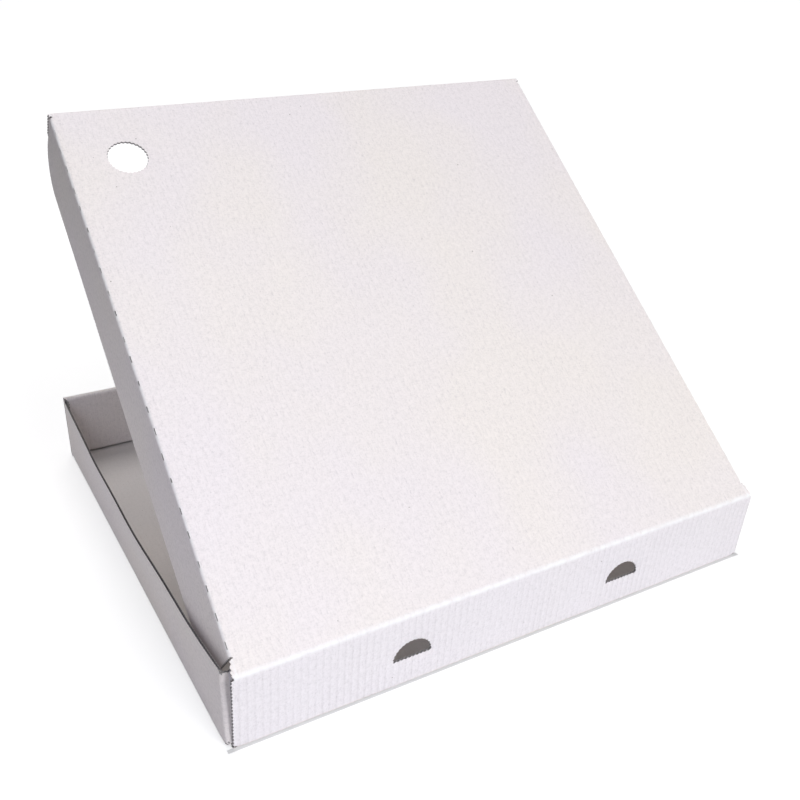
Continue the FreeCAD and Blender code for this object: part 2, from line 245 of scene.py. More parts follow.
@dataclass(frozen=True)
class Folds:
    """Creases of the whole blank, worked out from the sizes of the box and its board."""

    box: BoxSizes = BoxSizes()
    board: Board = Board()

    @property
    def side(self) -> Crease:
        """Floor to side wall."""
        start = self.box.width / 2 - self.board.outer_bend
        return Crease.of(start, 90, self.board.middle_bend)

    @property
    def wall_end(self) -> float:
        """Where a side wall ends and the bend of its corner flap begins."""
        step = self.board.thickness + self.box.layer_gap
        return self.box.depth / 2 - step - self.board.outer_bend

    @property
    def corner(self) -> Crease:
        """Side wall to corner flap."""
        return Crease.of(self.wall_end, 90, self.board.middle_bend)

    @property
    def rear(self) -> Crease:
        """Floor to rear wall."""
        start = self.box.depth / 2 - self.board.outer_bend
        return Crease.of(start, 90 - self.box.rear_lean, self.board.middle_bend)

    @property
    def front(self) -> tuple[Crease, Crease, Crease]:
        """Floor to front wall, and the two creases that roll it over the corner flaps."""
        board, box = self.board, self.box
        space = board.thickness + 2 * box.layer_gap
        inner = space / 4
        foot = Crease.of(box.depth / 2 - board.outer_bend, 90, board.middle_bend)
        rise = box.height - board.outer_bend - board.thickness - inner
        over = Crease.of(foot.end + rise, 90, inner + board.half)
        down = Crease.of(over.end + space - 2 * inner, 90, inner + board.half)
        return foot, over, down

    @property
    def front_foot(self) -> float:
        """Where the inner front panel ends, above the floor."""
        board, box = self.board, self.box
        inner = (board.thickness + 2 * box.layer_gap) / 4
        drop = box.height - board.thickness - inner - board.thickness - box.layer_gap
        return self.front[2].end + drop

    @property
    def roll_inner_face(self) -> float:
        """Distance of the inner front panel's face from the box's middle."""
        board, box = self.board, self.box
        return box.depth / 2 - 3 * board.thickness - 2 * box.layer_gap

    @property
    def hinge_line(self) -> float:
        """Where the hinge axis crosses the blank."""
        lean = math.radians(self.box.rear_lean)
        rise = self.box.height - self.board.half - self.board.outer_bend
        run = (rise + self.board.middle_bend * math.sin(lean)) / math.cos(lean)
        return self.rear.end + run

    @property
    def hinge(self) -> Crease:
        """Rear wall to lid, as far as the lid is open in the photograph."""
        turn = 90 + self.box.rear_lean - self.box.lid_angle
        leg = self.board.middle_fold * math.tan(math.radians(turn / 2))
        return Crease(self.hinge_line - leg, turn, self.board.middle_fold, 2 * leg)

    @property
    def lid_length(self) -> float:
        """Hinge axis to the outside of the lid's front flap."""
        lean = math.radians(self.box.rear_lean)
        run = self.hinge_line - self.rear.end
        place = self.rear.start + self.board.middle_bend * math.cos(lean) + run * math.sin(lean)
        return place + self.roll_inner_face - self.box.lid_gap

    @property
    def fold_half(self) -> float:
        """Half the lid's width at its side folds."""
        board, box = self.board, self.box
        reach = box.width / 2 - board.thickness - box.lid_gap
        return reach - box.flap_depth * math.sin(math.radians(box.flap_splay))

    @property
    def lid_side(self) -> Crease:
        """Lid panel to side flap."""
        turn = 90 - self.box.flap_splay
        setback = self.board.outer_fold * math.tan(math.radians(turn / 2))
        return Crease.of(self.fold_half - setback, turn, self.board.middle_fold)

    @property
    def lid_flap_edge(self) -> float:
        """Free edge of a side flap on the flat blank."""
        turn = math.radians(90 - self.box.flap_splay)
        return self.lid_side.end + self.box.flap_depth - self.board.outer_fold * math.tan(turn / 2)

    @property
    def lid_front(self) -> Crease:
        """Lid panel to front flap, measured from the middle of the floor like the rest."""
        start = self.hinge_line + self.lid_length - self.board.outer_fold
        return Crease.of(start, 90 + self.box.front_lean, self.board.middle_fold)

    @property
    def flap_span(self) -> tuple[float, float]:
        """Ends of the side flaps, as distances from the hinge axis."""
        board, box = self.board, self.box
        lean = math.radians(box.front_lean)
        near = self.lid_length - self.roll_inner_face + box.lid_gap - box.depth / 2
        near += 2 * board.thickness + box.layer_gap + box.lid_gap
        far = self.lid_length - box.front_flap_depth * math.sin(lean) - board.thickness
        return near, far - box.flap_end_gap

    def place(self, flat: Array, out: Array) -> Array:
        """Folds points of the blank into the box.

        Args:
            flat: points on the blank, across and along the flutes.
            out: how far each point is out of the board's middle.

        Returns:
            Points in the box's frame, in millimetres.
        """
        across, along = np.abs(flat[:, 0]), flat[:, 1]
        side = np.where(flat[:, 0] < 0, -1.0, 1.0)
        out = np.broadcast_to(out, across.shape).astype(float)

        # lid flaps, then the lid about the hinge
        from_hinge = along - self.hinge_line
        near, far = self.flap_span
        hair = self.board.hair
        flap = (from_hinge > near) & (from_hinge < far + 3 * hair)
        wide, lifted = self.lid_side.bend(across, out)
        lid_across = np.where(flap, wide, across)
        lid_out = np.where(flap, lifted, out)
        lid_along, lid_out = self.lid_front.bend(along, lid_out)
        lid_along, lid_out = self.hinge.bend(lid_along, lid_out)
        lid_along, lid_out = self.rear.bend(lid_along, lid_out)

        # corner flaps, then the side walls
        ends, inward = self.corner.bend(np.abs(along), out)
        wall = across > self.side.start
        wall_along = np.where(wall, np.sign(along) * ends, along)
        wall_across, wall_out = self.side.bend(across, np.where(wall, inward, out))

        # roll-over front
        foot, over, down = self.front
        front_along, front_out = down.bend(-along, out)
        front_along, front_out = over.bend(front_along, front_out)
        front_along, front_out = foot.bend(front_along, front_out)

        narrow = across <= np.where(along < 0, self.box.front_half, self.box.end_half) + 2 * hair
        lid = (along > self.wall_end + hair) & narrow | (from_hinge > near - hair)
        front = (along < -self.wall_end - hair) & narrow
        x = np.where(lid, lid_across, np.where(front, across, wall_across))
        y = np.where(lid, lid_along, np.where(front, -front_along, wall_along))
        z = np.where(lid, lid_out, np.where(front, front_out, wall_out))
        return np.stack([side * x, y, self.board.half - z], axis=1)


# Flat outlines


@dataclass(frozen=True)
class Corner:
    """Corner of an outline, its rounding, and the kind of the edge that leaves it."""

    across: float
    along: float
    radius: float = 0
    edge: Edge = Edge.DIE_CUT


@dataclass
class Outline:
    """One closed line of the die, as points with the way out of the board at each.

    The board lies on the left of an outer line and of a hole alike.
    """

    points: Array
    outward: Array
    kinds: list[Edge]

    @classmethod
    def through(cls, corners: Sequence[Corner], step: float) -> "Outline":
        """Follows corners with straight runs and rounded turns.

        Args:
            corners: the corners in order, board on the left.
            step: longest distance between two points.

        Returns:
            The line, sampled evenly.
        """
        points: list[Array] = []
        kinds: list[Edge] = []
        places = [np.array((c.across, c.along), float) for c in corners]
        count = len(corners)
        cuts = []
        for index, corner in enumerate(corners):
            here = places[index]
            to_last = places[index - 1] - here
            to_next = places[(index + 1) % count] - here
            to_last /= np.linalg.norm(to_last)
            to_next /= np.linalg.norm(to_next)
            half = math.acos(float(np.clip(to_last @ to_next, -1, 1))) / 2
            reach = corner.radius / math.tan(half) if corner.radius else 0.0
            cuts.append((here + reach * to_last, here + reach * to_next, half, to_last, to_next))
        for index, corner in enumerate(corners):
            start, end, half, to_last, to_next = cuts[index]
            if corner.radius:
                spoke = to_last + to_next
                far = corner.radius / math.sin(half)
                centre = places[index] + spoke / np.linalg.norm(spoke) * far
                first = math.atan2(*(start - centre)[::-1])
                swing = math.atan2(*(end - centre)[::-1]) - first
                swing = (swing + math.pi) % (2 * math.pi) - math.pi
                pieces = max(3, math.ceil(abs(swing) * corner.radius / step))
                for turn in first + swing * np.arange(pieces) / pieces:
                    spoke = np.array((math.cos(turn), math.sin(turn)))
                    points.append(centre + corner.radius * spoke)
                    kinds.append(corner.edge)
            goal = cuts[(index + 1) % count][0]
            length = float(np.linalg.norm(goal - end))
            spacing = 4 * step if corner.edge is Edge.JOINED else step
            pieces = max(1, math.ceil(length / spacing))
            for share in np.arange(pieces) / pieces:
                points.append(end + (goal - end) * share)
                kinds.append(corner.edge)
        return cls.closed(np.array(points), kinds)

    @classmethod
    def closed(cls, points: Array, kinds: list[Edge]) -> "Outline":
        """Line through points, with the way out at each worked out from its neighbours."""
        ahead = np.roll(points, -1, axis=0) - points
        behind = points - np.roll(points, 1, axis=0)
        ahead /= np.linalg.norm(ahead, axis=1, keepdims=True)
        behind /= np.linalg.norm(behind, axis=1, keepdims=True)
        run = ahead + behind
        length = np.linalg.norm(run, axis=1, keepdims=True)
        run = np.where(length > 1e-6, run / np.maximum(length, 1e-6), ahead)
        outward = np.stack([run[:, 1], -run[:, 0]], axis=1)
        stretch = np.clip((ahead * run).sum(1), 0.55, 1)
        return cls(points, outward / stretch[:, None], kinds)

    @classmethod
    def ring(cls, across: float, along: float, radius: float, step: float) -> "Outline":
        """Round hole, followed clockwise so that the board is on the left."""
        count = math.ceil(2 * math.pi * radius / step)
        turn = -2 * math.pi * np.arange(count) / count
        points = np.stack([across + radius * np.cos(turn), along + radius * np.sin(turn)], axis=1)
        return cls.closed(points, [Edge.DIE_CUT] * count)

    @classmethod
    def half_moon(cls, across: float, along: float, radius: float, step: float) -> "Outline":
        """Half-moon hole with its straight side nearest the floor."""
        count = math.ceil(math.pi * radius / step)
        turn = math.pi * np.arange(count + 1) / count
        bow = np.stack([across - radius * np.cos(turn), along + radius * np.sin(turn)], axis=1)
        pieces = math.ceil(2 * radius / step)
        share = np.arange(1, pieces)[:, None] / pieces
        chord = bow[-1] + (bow[0] - bow[-1]) * share
        points = np.concatenate([bow, chord])
        return cls.closed(points, [Edge.DIE_CUT] * len(points))

    def toothed(self, board: Board) -> Array:
        """Points of the line as the toothed cutting rule leaves them."""
        steps = np.linalg.norm(np.roll(self.points, -1, axis=0) - self.points, axis=1)
        travelled = np.concatenate([[0], np.cumsum(steps)[:-1]])
        teeth = max(1, round(steps.sum() / board.tooth_pitch))
        wave = 0.5 - 0.5 * np.cos(2 * math.pi * teeth * travelled / steps.sum())
        cut = np.array([kind is Edge.DIE_CUT for kind in self.kinds])
        clean = cut & np.roll(cut, 1) & np.roll(cut, -1)
        return self.points - self.outward * (wave * clean * board.tooth_depth)[:, None]

    @property
    def raw(self) -> Array:
        """True where the board ends in a raw edge."""
        return np.array([kind not in (Edge.JOINED, Edge.PRESSED) for kind in self.kinds])

    def room(self, board: Board) -> Array:
        """How far the lattice stays from each point of the line."""
        pressed = self.kinds[0] is Edge.PRESSED
        return np.full(len(self.points), board.pressed_room if pressed else board.room)


def mirrored(half: Sequence[Corner], closing: Edge = Edge.JOINED) -> list[Corner]:
    """Whole outline from its half with across above nought, and the edge that closes it."""
    edges = [closing, *(corner.edge for corner in half[:-1])]
    pairs = list(zip(half, edges))[::-1]
    return [*half, *(Corner(-c.across, c.along, c.radius, edge) for c, edge in pairs)]


def inside(points: Array, outlines: Iterable[Array]) -> Array:
    """True for each point that lies on the board, outside its holes."""
    hits = np.zeros(len(points), bool)
    for line in outlines:
        x1, y1 = line.T
        x2, y2 = np.roll(line, -1, axis=0).T
        rise = np.where(y2 == y1, 1e-12, y2 - y1)
        for part in np.array_split(np.arange(len(points)), len(points) // CHUNK + 1):
            px, py = points[part, :1], points[part, 1:]
            straddles = (y1 > py) != (y2 > py)
            crossing = x1 + (py - y1) * (x2 - x1) / rise > px
            hits[part] ^= np.count_nonzero(straddles & crossing, axis=1) % 2 == 1
    return hits


def ripple(flat: Array, wave: float, seed: int) -> Array:
    """Smooth unevenness of about unit height over the blank, the same on every run."""
    draw = np.random.default_rng(seed)
    total = np.zeros(len(flat))
    for _ in range(WAVES):
        heading = draw.uniform(0, 2 * math.pi)
        pace = 2 * math.pi / (wave * draw.uniform(0.7, 1.7))
        turn = pace * (flat @ np.array((math.cos(heading), math.sin(heading))))
        total += np.sin(turn + draw.uniform(0, 2 * math.pi))
    return total / WAVES_HEIGHT


def strip(upper: Array, lower: Array) -> Array:
    """Four-sided faces between two closed lines of numbered points."""
    return np.stack((upper, np.roll(upper, -1), np.roll(lower, -1), lower), axis=1)


@dataclass
class Blank:
    """A part of the blank: its outlines, the rows that let it bend, and its folding."""

    name: str
    outlines: list[Outline] = field(default_factory=list)
    rows: list[tuple[float, float, float, float]] = field(default_factory=list)
    folds: Folds = Folds()
    cell: Optional[float] = None
    fine: Optional[float] = None

    def lattice(self) -> Array:
        """Points inside the outlines, closer together across each crease.

        Returns:
            The points, clear of every outline. A row of the blank is the way it is
            measured (0 across, 1 along), its two limits and its number of steps.
        """
        cell = self.cell or self.folds.board.cell
        low = np.min([o.points.min(0) for o in self.outlines], axis=0)
        high = np.max([o.points.max(0) for o in self.outlines], axis=0)
        axes = []
        for axis in (0, 1):
            count = max(1, round((high[axis] - low[axis]) / cell))
            plain = np.linspace(low[axis], high[axis], count + 1)
            tight = [row for row in self.rows if row[0] == axis]
            for _, start, end, pieces in tight:
                plain = plain[(plain < start - cell / 3) | (plain > end + cell / 3)]
            bends = [np.linspace(start, end, int(pieces) + 1) for _, start, end, pieces in tight]
            axes.append(np.unique(np.round(np.concatenate([plain, *bends]), 5)))
        grid = np.stack(np.meshgrid(*axes, indexing="ij"), axis=-1).reshape(-1, 2)
        if self.fine:
            folds = [row[1:] for row in self.rows if row[0] == 0]
            bends = [np.linspace(start, end, int(pieces) + 1) for start, end, pieces in folds]
            close = np.arange(low[1] + self.fine / 2, high[1], self.fine)
            more = np.meshgrid(np.concatenate(bends), close, indexing="ij")
            grid = np.concatenate([grid, np.stack(more, axis=-1).reshape(-1, 2)])
        lines = [o.points for o in self.outlines]
        grid = grid[inside(grid, lines)]
        edge = np.concatenate(lines)
        room = np.concatenate([o.room(self.folds.board) for o in self.outlines])
        clear = np.ones(len(grid), bool)
        for part in np.array_split(np.arange(len(grid)), len(grid) // CHUNK + 1):
            gaps = np.linalg.norm(grid[part, None, :] - edge[None, :, :], axis=2) - room
            clear[part] = gaps.min(1) > 0
        return grid[clear]

    def triangles(self) -> tuple[Array, Array, list[Array]]:
        """Divides the blank into triangles.

        Returns:
            Points, triangles, and for each outline the numbers of its points.
        """
        lines = [o.toothed(self.folds.board) for o in self.outlines]
        points = np.concatenate([*lines, self.lattice()])
        edges = []
        first = 0
        for line in lines:
            turn = np.arange(len(line))
            edges += list(zip((first + turn).tolist(), (first + np.roll(turn, -1)).tolist()))
            first += len(line)
        out = delaunay_2d_cdt([Vector(p) for p in points.tolist()], edges, [], 0, 1e-7)
        flat = np.array([tuple(p) for p in out[0]])
        faces = np.array(out[2])
        number = {old: new for new, olds in enumerate(out[3]) for old in olds}
        rings = []
        first = 0
        for line in lines:
            rings.append(np.array([number[first + k] for k in range(len(line))]))
            first += len(line)
        middles = flat[faces].mean(1)
        return flat, faces[inside(middles, lines)], rings

    def settle(self, flat: Array, spots: Array) -> Array:
        """Gives folded points the small give of handled board. Sub-assemblies add to it."""
        return spots

    def put(self, flat: Array, out: Union[Array, float]) -> Array:
        """Points of the blank, folded, settled and in metres."""
        spread = np.broadcast_to(out, (len(flat),)).astype(float)
        return self.settle(flat, self.folds.place(flat, spread)) * MM

    def shell(self) -> Piece:
        """Both liners of the board, with a groove between them round every raw edge.

        Returns:
            The closed mesh, with its three finishes numbered as in Face.
        """
        board = self.folds.board
        flat, faces, rings = self.triangles()
        count = len(flat)
        rise = np.full(count, board.half)
        for outline, ring in zip(self.outlines, rings):
            rise[ring[outline.raw]] -= board.crush
        spots = [self.put(flat, rise), self.put(flat, -rise)]
        where = [flat, flat]
        polygons = [tuple(face) for face in faces[:, ::-1]]
        finishes = [Face.WHITE.value] * len(polygons)
        polygons += [tuple(face) for face in faces + count]
        finishes += [Face.GREY.value] * len(faces)
        total = 2 * count
        lip = board.half - board.liner
        for outline, ring in zip(self.outlines, rings):
            edge = flat[ring]
            deep = outline.points - outline.outward * (outline.raw * board.groove)[:, None]
            bands = [ring]
            thin = lip - outline.raw * board.crush
            for line, out in ((edge, thin), (deep, lip), (deep, -lip), (edge, -thin)):
                spots.append(self.put(line, out))
                where.append(line)
                bands.append(total + np.arange(len(line)))
                total += len(line)
            bands.append(ring + count)
            for upper, lower in zip(bands, bands[1:]):
                polygons += strip(upper, lower).tolist()
                finishes += [Face.RAW.value] * len(upper)
        points, places = np.concatenate(spots), np.concatenate(where)
        return make_mesh(self.name, points, polygons, finishes, places)

    def fluting(self) -> Piece:
        """The wavy medium that shows between the liners at every raw edge."""
        board = self.folds.board
        height = board.half - board.liner - board.medium / 2
        spots: list[Array] = []
        where: list[Array] = []
        polygons: list[tuple[int, ...]] = []
        total = 0
        for outline in self.outlines:
            raw = outline.raw
            if not raw.any():
                continue
            bands = []
            for side in (1, -1):
                for depth in board.medium_rows[::side]:
                    line = outline.points - outline.outward * depth
                    wave = height * np.sin(2 * math.pi * line[:, 0] / board.flute_pitch)
                    spots.append(self.put(line, wave + side * board.medium / 2))
                    where.append(line)
                    bands.append(total + np.arange(len(line)))
                    total += len(line)
            keep = raw & np.roll(raw, -1)
            for upper, lower in zip(bands, bands[1:] + bands[:1]):
                polygons += strip(upper, lower)[keep].tolist()
            for cut in np.flatnonzero(keep != np.roll(keep, 1)):
                polygons.append(tuple(int(band[cut]) for band in bands))
        points, places = np.concatenate(spots), np.concatenate(where)
        return make_mesh(f"{self.name}_fluting", points, polygons, [0] * len(polygons), places)

    def dressed(self, finishes: "Finishes", slot: str) -> tuple[Piece, Piece]:
        """Makes the board and its fluting, both in their finishes."""
        shell, medium = self.shell(), self.fluting()
        finishes.dress(shell, finishes.board)
        finishes.dress(medium, [finishes.medium])
        return shell, medium


def make_mesh(
    name: str, spots: Array, polygons: Sequence[Sequence[int]], finishes: Sequence[int],
    flat: Array,
) -> Piece:
    """Makes a piece, smooth but for its true edges, that carries its place on the blank.

    Args:
        name: the piece's name.
        spots: its points in metres.
        polygons: its faces.
        finishes: the number of each face's finish.
        flat: where each point lies on the flat blank, in millimetres.

    Returns:
        The object, in the scene.
    """
    mesh = bpy.data.meshes.new(name)
    mesh.from_pydata(spots.tolist(), [], polygons)
    mesh.polygons.foreach_set("material_index", finishes)
    layer = mesh.uv_layers.new(name=BLANK_MAP)
    corners = np.zeros(len(mesh.loops), np.int32)
    mesh.loops.foreach_get("vertex_index", corners)
    layer.data.foreach_set("uv", (flat[corners] * MM).astype(np.float32).ravel())
    work = bmesh.new()
    work.from_mesh(mesh)
    bmesh.ops.remove_doubles(work, verts=work.verts, dist=MERGE)
    loose = [vertex for vertex in work.verts if not vertex.link_faces]
    bmesh.ops.delete(work, geom=loose, context="VERTS")
    bmesh.ops.recalc_face_normals(work, faces=work.faces)
    work.to_mesh(mesh)
    work.free()
    mesh.shade_smooth()
    mesh.set_sharp_from_angle(angle=SHARP)
    made = bpy.data.objects.new(name, mesh)
    bpy.context.scene.collection.objects.link(made)
    return made


# Finishes


class Value:
    """A socket of a material that joins sums as an ordinary number."""

    def __init__(self, tree: bpy.types.NodeTree, socket: bpy.types.NodeSocket) -> None:
        """Wraps one output socket of a node tree."""
        self.tree = tree
        self.socket = socket

    def _sum(self, operation: str, first: Input, second: Input) -> "Value":
        """Adds a Math node for two terms."""
        node = self.tree.nodes.new("ShaderNodeMath")
        node.operation = operation
        for place, term in enumerate((first, second)):
            if isinstance(term, Value):
                self.tree.links.new(term.socket, node.inputs[place])
            else:
                node.inputs[place].default_value = term
        return Value(self.tree, node.outputs[0])

    def __add__(self, other: Input) -> "Value":
        """Sum."""
        return self._sum("ADD", self, other)

    __radd__ = __add__

    def __sub__(self, other: Input) -> "Value":
        """Difference."""
        return self._sum("SUBTRACT", self, other)

    def __rsub__(self, other: Input) -> "Value":
        """Difference, the other way round."""
        return self._sum("SUBTRACT", other, self)

    def __mul__(self, other: Input) -> "Value":
        """Product."""
        return self._sum("MULTIPLY", self, other)

    __rmul__ = __mul__

    def __abs__(self) -> "Value":
        """Size without its sign."""
        return self._sum("ABSOLUTE", self, 0.0)

    def __gt__(self, other: Input) -> "Value":
        """One where this is greater, else nought."""
        return self._sum("GREATER_THAN", self, other)


@dataclass
class Finish:
    """A material under construction, for one finish of the board."""

    name: str
    material: bpy.types.Material = field(init=False)

    def __post_init__(self) -> None:
        """Makes the material with its shader."""
        self.material = bpy.data.materials.new(self.name)
        self.material.use_nodes = True
        self.tree = self.material.node_tree
        self.shader = self.tree.nodes["Principled BSDF"]

    def node(
        self, kind: str, settings: Optional[Mapping] = None,
        inputs: Optional[Mapping] = None, output: Union[int, str] = 0,
    ) -> Value:
        """Adds a node of any kind.

        Args:
            kind: the node's type.
            settings: its settings, set first.
            inputs: values or links of its sockets, by name or number.
            output: which of its outputs is wanted.

        Returns:
            That output.
        """
        made = self.tree.nodes.new(kind)
        for name, setting in (settings or {}).items():
            if name == "stops":
                self._set_stops(made.color_ramp, setting)
            else:
                setattr(made, name, setting)
        for name, term in (inputs or {}).items():
            self.feed(made.inputs[name], term)
        return Value(self.tree, made.outputs[output])

    @staticmethod
    def _set_stops(ramp: bpy.types.ColorRamp, stops: Sequence[tuple[float, float]]) -> None:
        """Gives a ramp its grey stops."""
        for index, (place, level) in enumerate(stops):
            stop = ramp.elements[index] if index < 2 else ramp.elements.new(place)
            stop.position = place
            stop.color = (level, level, level, 1)

    def feed(self, socket: bpy.types.NodeSocket, term: Input) -> None:
        """Links a value to a socket, or sets the socket."""
        if isinstance(term, Value):
            self.tree.links.new(term.socket, socket)
        elif isinstance(term, tuple) and len(term) == 3 and socket.type == "RGBA":
            socket.default_value = (*term, 1)
        else:
            socket.default_value = term

    def mix(self, share: Input, first: Input, second: Input, way: str = "MIX") -> Value:
        """Mixes two colours."""
        settings = {"data_type": "RGBA", "blend_type": way, "clamp_factor": True}
        return self.node("ShaderNodeMix", settings, {0: share, 6: first, 7: second}, 2)

    def stretched(self, spot: Value, across: float, along: float) -> Value:
        """The place on the blank, scaled so that one unit is this many millimetres each way."""
        scale = (1 / (across * MM), 1 / (along * MM), 1)
        return self.node("ShaderNodeVectorMath", {"operation": "MULTIPLY"}, {0: spot, 1: scale})

    def noise(self, spot: Value, detail: float = 2, rough: float = 0.5, shift: float = 0) -> Value:
        """Cloudy pattern from 0 to 1, one cloud a unit."""
        inputs = {"Vector": spot, "W": shift, "Scale": 1, "Detail": detail, "Roughness": rough}
        return self.node("ShaderNodeTexNoise", {"noise_dimensions": "4D"}, inputs)

    def split(self, spot: Value) -> tuple[Value, Value]:
        """The first two coordinates of a place."""
        ways = [self.node("ShaderNodeSeparateXYZ", None, {0: spot}, way) for way in "XY"]
        return ways[0], ways[1]

    def sine(self, term: Value) -> Value:
        """Sine of an angle in radians."""
        return self.node("ShaderNodeMath", {"operation": "SINE"}, {0: term})

    def ramp(self, term: Value, *stops: tuple[float, float]) -> Value:
        """Bends a value through grey stops."""
        return self.node("ShaderNodeValToRGB", {"stops": stops}, {0: term})


@dataclass(frozen=True)
class Liner:
    """Paper face of the board: its screen colours, its mottle and how far the flutes show."""

    name: str
    warm: Colour
    cool: Colour
    # rear: a cooler tint painted on the rear wall panel, standing in for the light that face gets
    rear: Colour
    # streak: dark streaks, and the painted shade in the dips of the washboard
    streak: Colour
    speck: Colour
    # crest: painted highlight along the creases, partly the whitening of stretched paper
    crest: Colour
    roughness: float
    flute_show: float
    mottle: float
    speck_cell: float
    shift: float
    folds: Folds = Folds()

    def make(self) -> bpy.types.Material:
        """Builds the paper's material."""
        made = Finish(self.name)
        spot = made.node("ShaderNodeUVMap", {"uv_map": BLANK_MAP})
        across, along = made.split(spot)
        side = self.folds.lid_side

        def clouds(
            wide: float, long: float, shift: float, rough: float = 0.5, detail: float = 2
        ) -> Value:
            """Noise with clouds of a size in millimetres."""
            return made.noise(made.stretched(spot, wide, long), detail, rough, self.shift + shift)

        # broad drift of warm and cool, a cooler tint painted on the rear wall panel that stands in
        # for the light that face gets, then cloud, fibre and weft
        rear = along > self.folds.rear.end * MM
        lid = along > self.folds.hinge_line * MM
        wall = rear - lid
        drift = made.ramp(clouds(85, 110, 0), (0.36, 0), (0.64, 1))
        colour = made.mix(drift, from_screen(self.warm), from_screen(self.cool))
        colour = made.mix(wall * 0.8, colour, from_screen(self.rear))
        cloud = clouds(2.4, 3.6, 3, 0.6, 3)
        fibre = clouds(0.75, 2.0, 6, 0.7)
        weft = clouds(2.0, 0.75, 18, 0.7)
        grain = cloud * 0.24 + fibre * 0.4 + weft * 0.36
        light = made.ramp(grain, (0.36, 1 - 2 * self.mottle), (0.51, 1), (0.66, 1 + self.mottle))
        colour = made.mix(1.0, colour, light, "MULTIPLY")

        # flutes: a washboard under the paper, clearest on the rear wall, with painted shade in its
        # dips, and short streaks that gather in the dips
        pace = 2 * math.pi / (self.folds.board.flute_pitch * MM)
        turn, twice = made.sine(across * pace), made.sine(across * (2 * pace))
        hollow = made.ramp(turn * -0.31 + twice * 0.19 + 0.5, (0.3, 0), (1, 1))
        shown = made.ramp(clouds(34, 45, 9), (0.3, 0.2), (0.68, 1))
        # painted shade darkens the dips of the washboard, more on the rear wall
        pressed = shown * (wall * 0.26 + 0.1) * hollow
        colour = made.mix(pressed * self.flute_show, colour, from_screen(self.streak))
        dash = made.ramp(clouds(0.9, 2.6, 12, 0.6), (0.56, 0), (0.72, 1))
        streak = dash * (hollow * 0.7 + 0.3) * (shown * 0.6 + 0.4) * self.flute_show
        colour = made.mix(streak, colour, from_screen(self.streak))

        # specks of darker fibre
        cells = {"Vector": made.stretched(spot, self.speck_cell, self.speck_cell), "Scale": 1}
        near = made.node("ShaderNodeTexVoronoi", None, cells, "Distance")
        tint = made.node("ShaderNodeTexVoronoi", None, cells, "Color")
        pick = made.node("ShaderNodeSeparateColor", None, {"Color": tint}, 0)
        size = pick * 0.035 + 0.004
        dot = made.node("ShaderNodeMath", {"operation": "LESS_THAN"}, {0: near, 1: size})
        colour = made.mix(dot * (pick * 0.7), colour, from_screen(self.speck))

        # painted highlight along the hinge crease and the lid's side folds, together with some
        # whitening of the stretched paper
        uneven = made.ramp(clouds(3, 3, 15, 0.6), (0.3, 0.35), (0.6, 1))
        hinge = self.near(made, along, self.folds.hinge_line, 1.7)
        fold = self.near(made, abs(across), side.start + side.length / 2, 0.7) * lid
        colour = made.mix((hinge + fold * 0.7) * uneven, colour, from_screen(self.crest))
        made.feed(made.shader.inputs["Base Color"], colour)

        # relief
        height = turn * shown * (wall * 0.5 + 0.5) + cloud * 0.6 + fibre * 0.5
        bump = {"Height": height, "Distance": 0.00004, "Strength": 1.0}
        made.feed(made.shader.inputs["Normal"], made.node("ShaderNodeBump", None, bump))
        made.feed(made.shader.inputs["Roughness"], fibre * 0.16 + (self.roughness - 0.08))
        made.shader.inputs["Specular IOR Level"].default_value = 0.3
        return made.material

    @staticmethod
    def near(made: Finish, term: Value, line: float, reach: float) -> Value:
        """One on a line of the blank, falling to nought at a reach in millimetres."""
        away = abs(term - line * MM) * (-1 / (reach * MM)) + 1
        return made.node("ShaderNodeClamp", None, {0: away})


@dataclass(frozen=True)
class RawPaper:
    """Cut edges and the medium between the liners: rough, fibrous recycled paper."""

    name: str
    colour: Colour
    dark: Colour
    roughness: float = 0.95
    fibres: float = 1600.0

    def make(self) -> bpy.types.Material:
        """Builds the raw paper's material."""
        made = Finish(self.name)
        spot = made.node("ShaderNodeTexCoord", None, None, "Object")
        inputs = {0: spot, "Scale": self.fibres}
        scaled = made.node("ShaderNodeVectorMath", {"operation": "SCALE"}, inputs)
        fuzz = made.noise(scaled, 3, 0.65)
        share = made.ramp(fuzz, (0.35, 0), (0.65, 1))
        colour = made.mix(share, from_screen(self.dark), from_screen(self.colour))
        made.feed(made.shader.inputs["Base Color"], colour)
        bump = {"Height": fuzz, "Distance": 0.00008, "Strength": 0.8}
        made.feed(made.shader.inputs["Normal"], made.node("ShaderNodeBump", None, bump))
        made.shader.inputs["Roughness"].default_value = self.roughness
        made.shader.inputs["Specular IOR Level"].default_value = 0.15
        return made.material


@dataclass
class Finishes:
    """Every finish of the box, in the order that Face gives, and the medium's own."""

    board: list[bpy.types.Material] = field(init=False)
    medium: bpy.types.Material = field(init=False)

    def __post_init__(self) -> None:
        """Makes the materials once for all pieces."""
        white = Liner(
            "white_liner", warm=(242, 235, 231), cool=(240, 233, 235), rear=(240, 236, 241),
            streak=(190, 183, 187), speck=(120, 108, 100), crest=(250, 249, 250),
            roughness=0.62, flute_show=0.6, mottle=0.07, speck_cell=9, shift=0,
        )
        grey = Liner(
            "grey_liner", warm=(228, 222, 219), cool=(225, 221, 220), rear=(228, 222, 219),
            streak=(180, 172, 168), speck=(110, 96, 86), crest=(226, 222, 220),
            roughness=0.74, flute_show=0.36, mottle=0.03, speck_cell=5, shift=21,
        )
        raw = RawPaper("cut_edge", (178, 174, 174), (138, 134, 134))
        self.board = [white.make(), grey.make(), raw.make()]
        self.medium = RawPaper("fluting_paper", (140, 132, 126), (98, 92, 88)).make()

    def dress(
        self, piece: Piece, materials: Sequence[bpy.types.Material]
    ) -> None:
        """Gives a piece its finishes and logs the piece."""
        for material in materials:
            piece.data.materials.append(material)
        log.info("%s: %d faces", piece.name, len(piece.data.polygons))


# Sub-assemblies


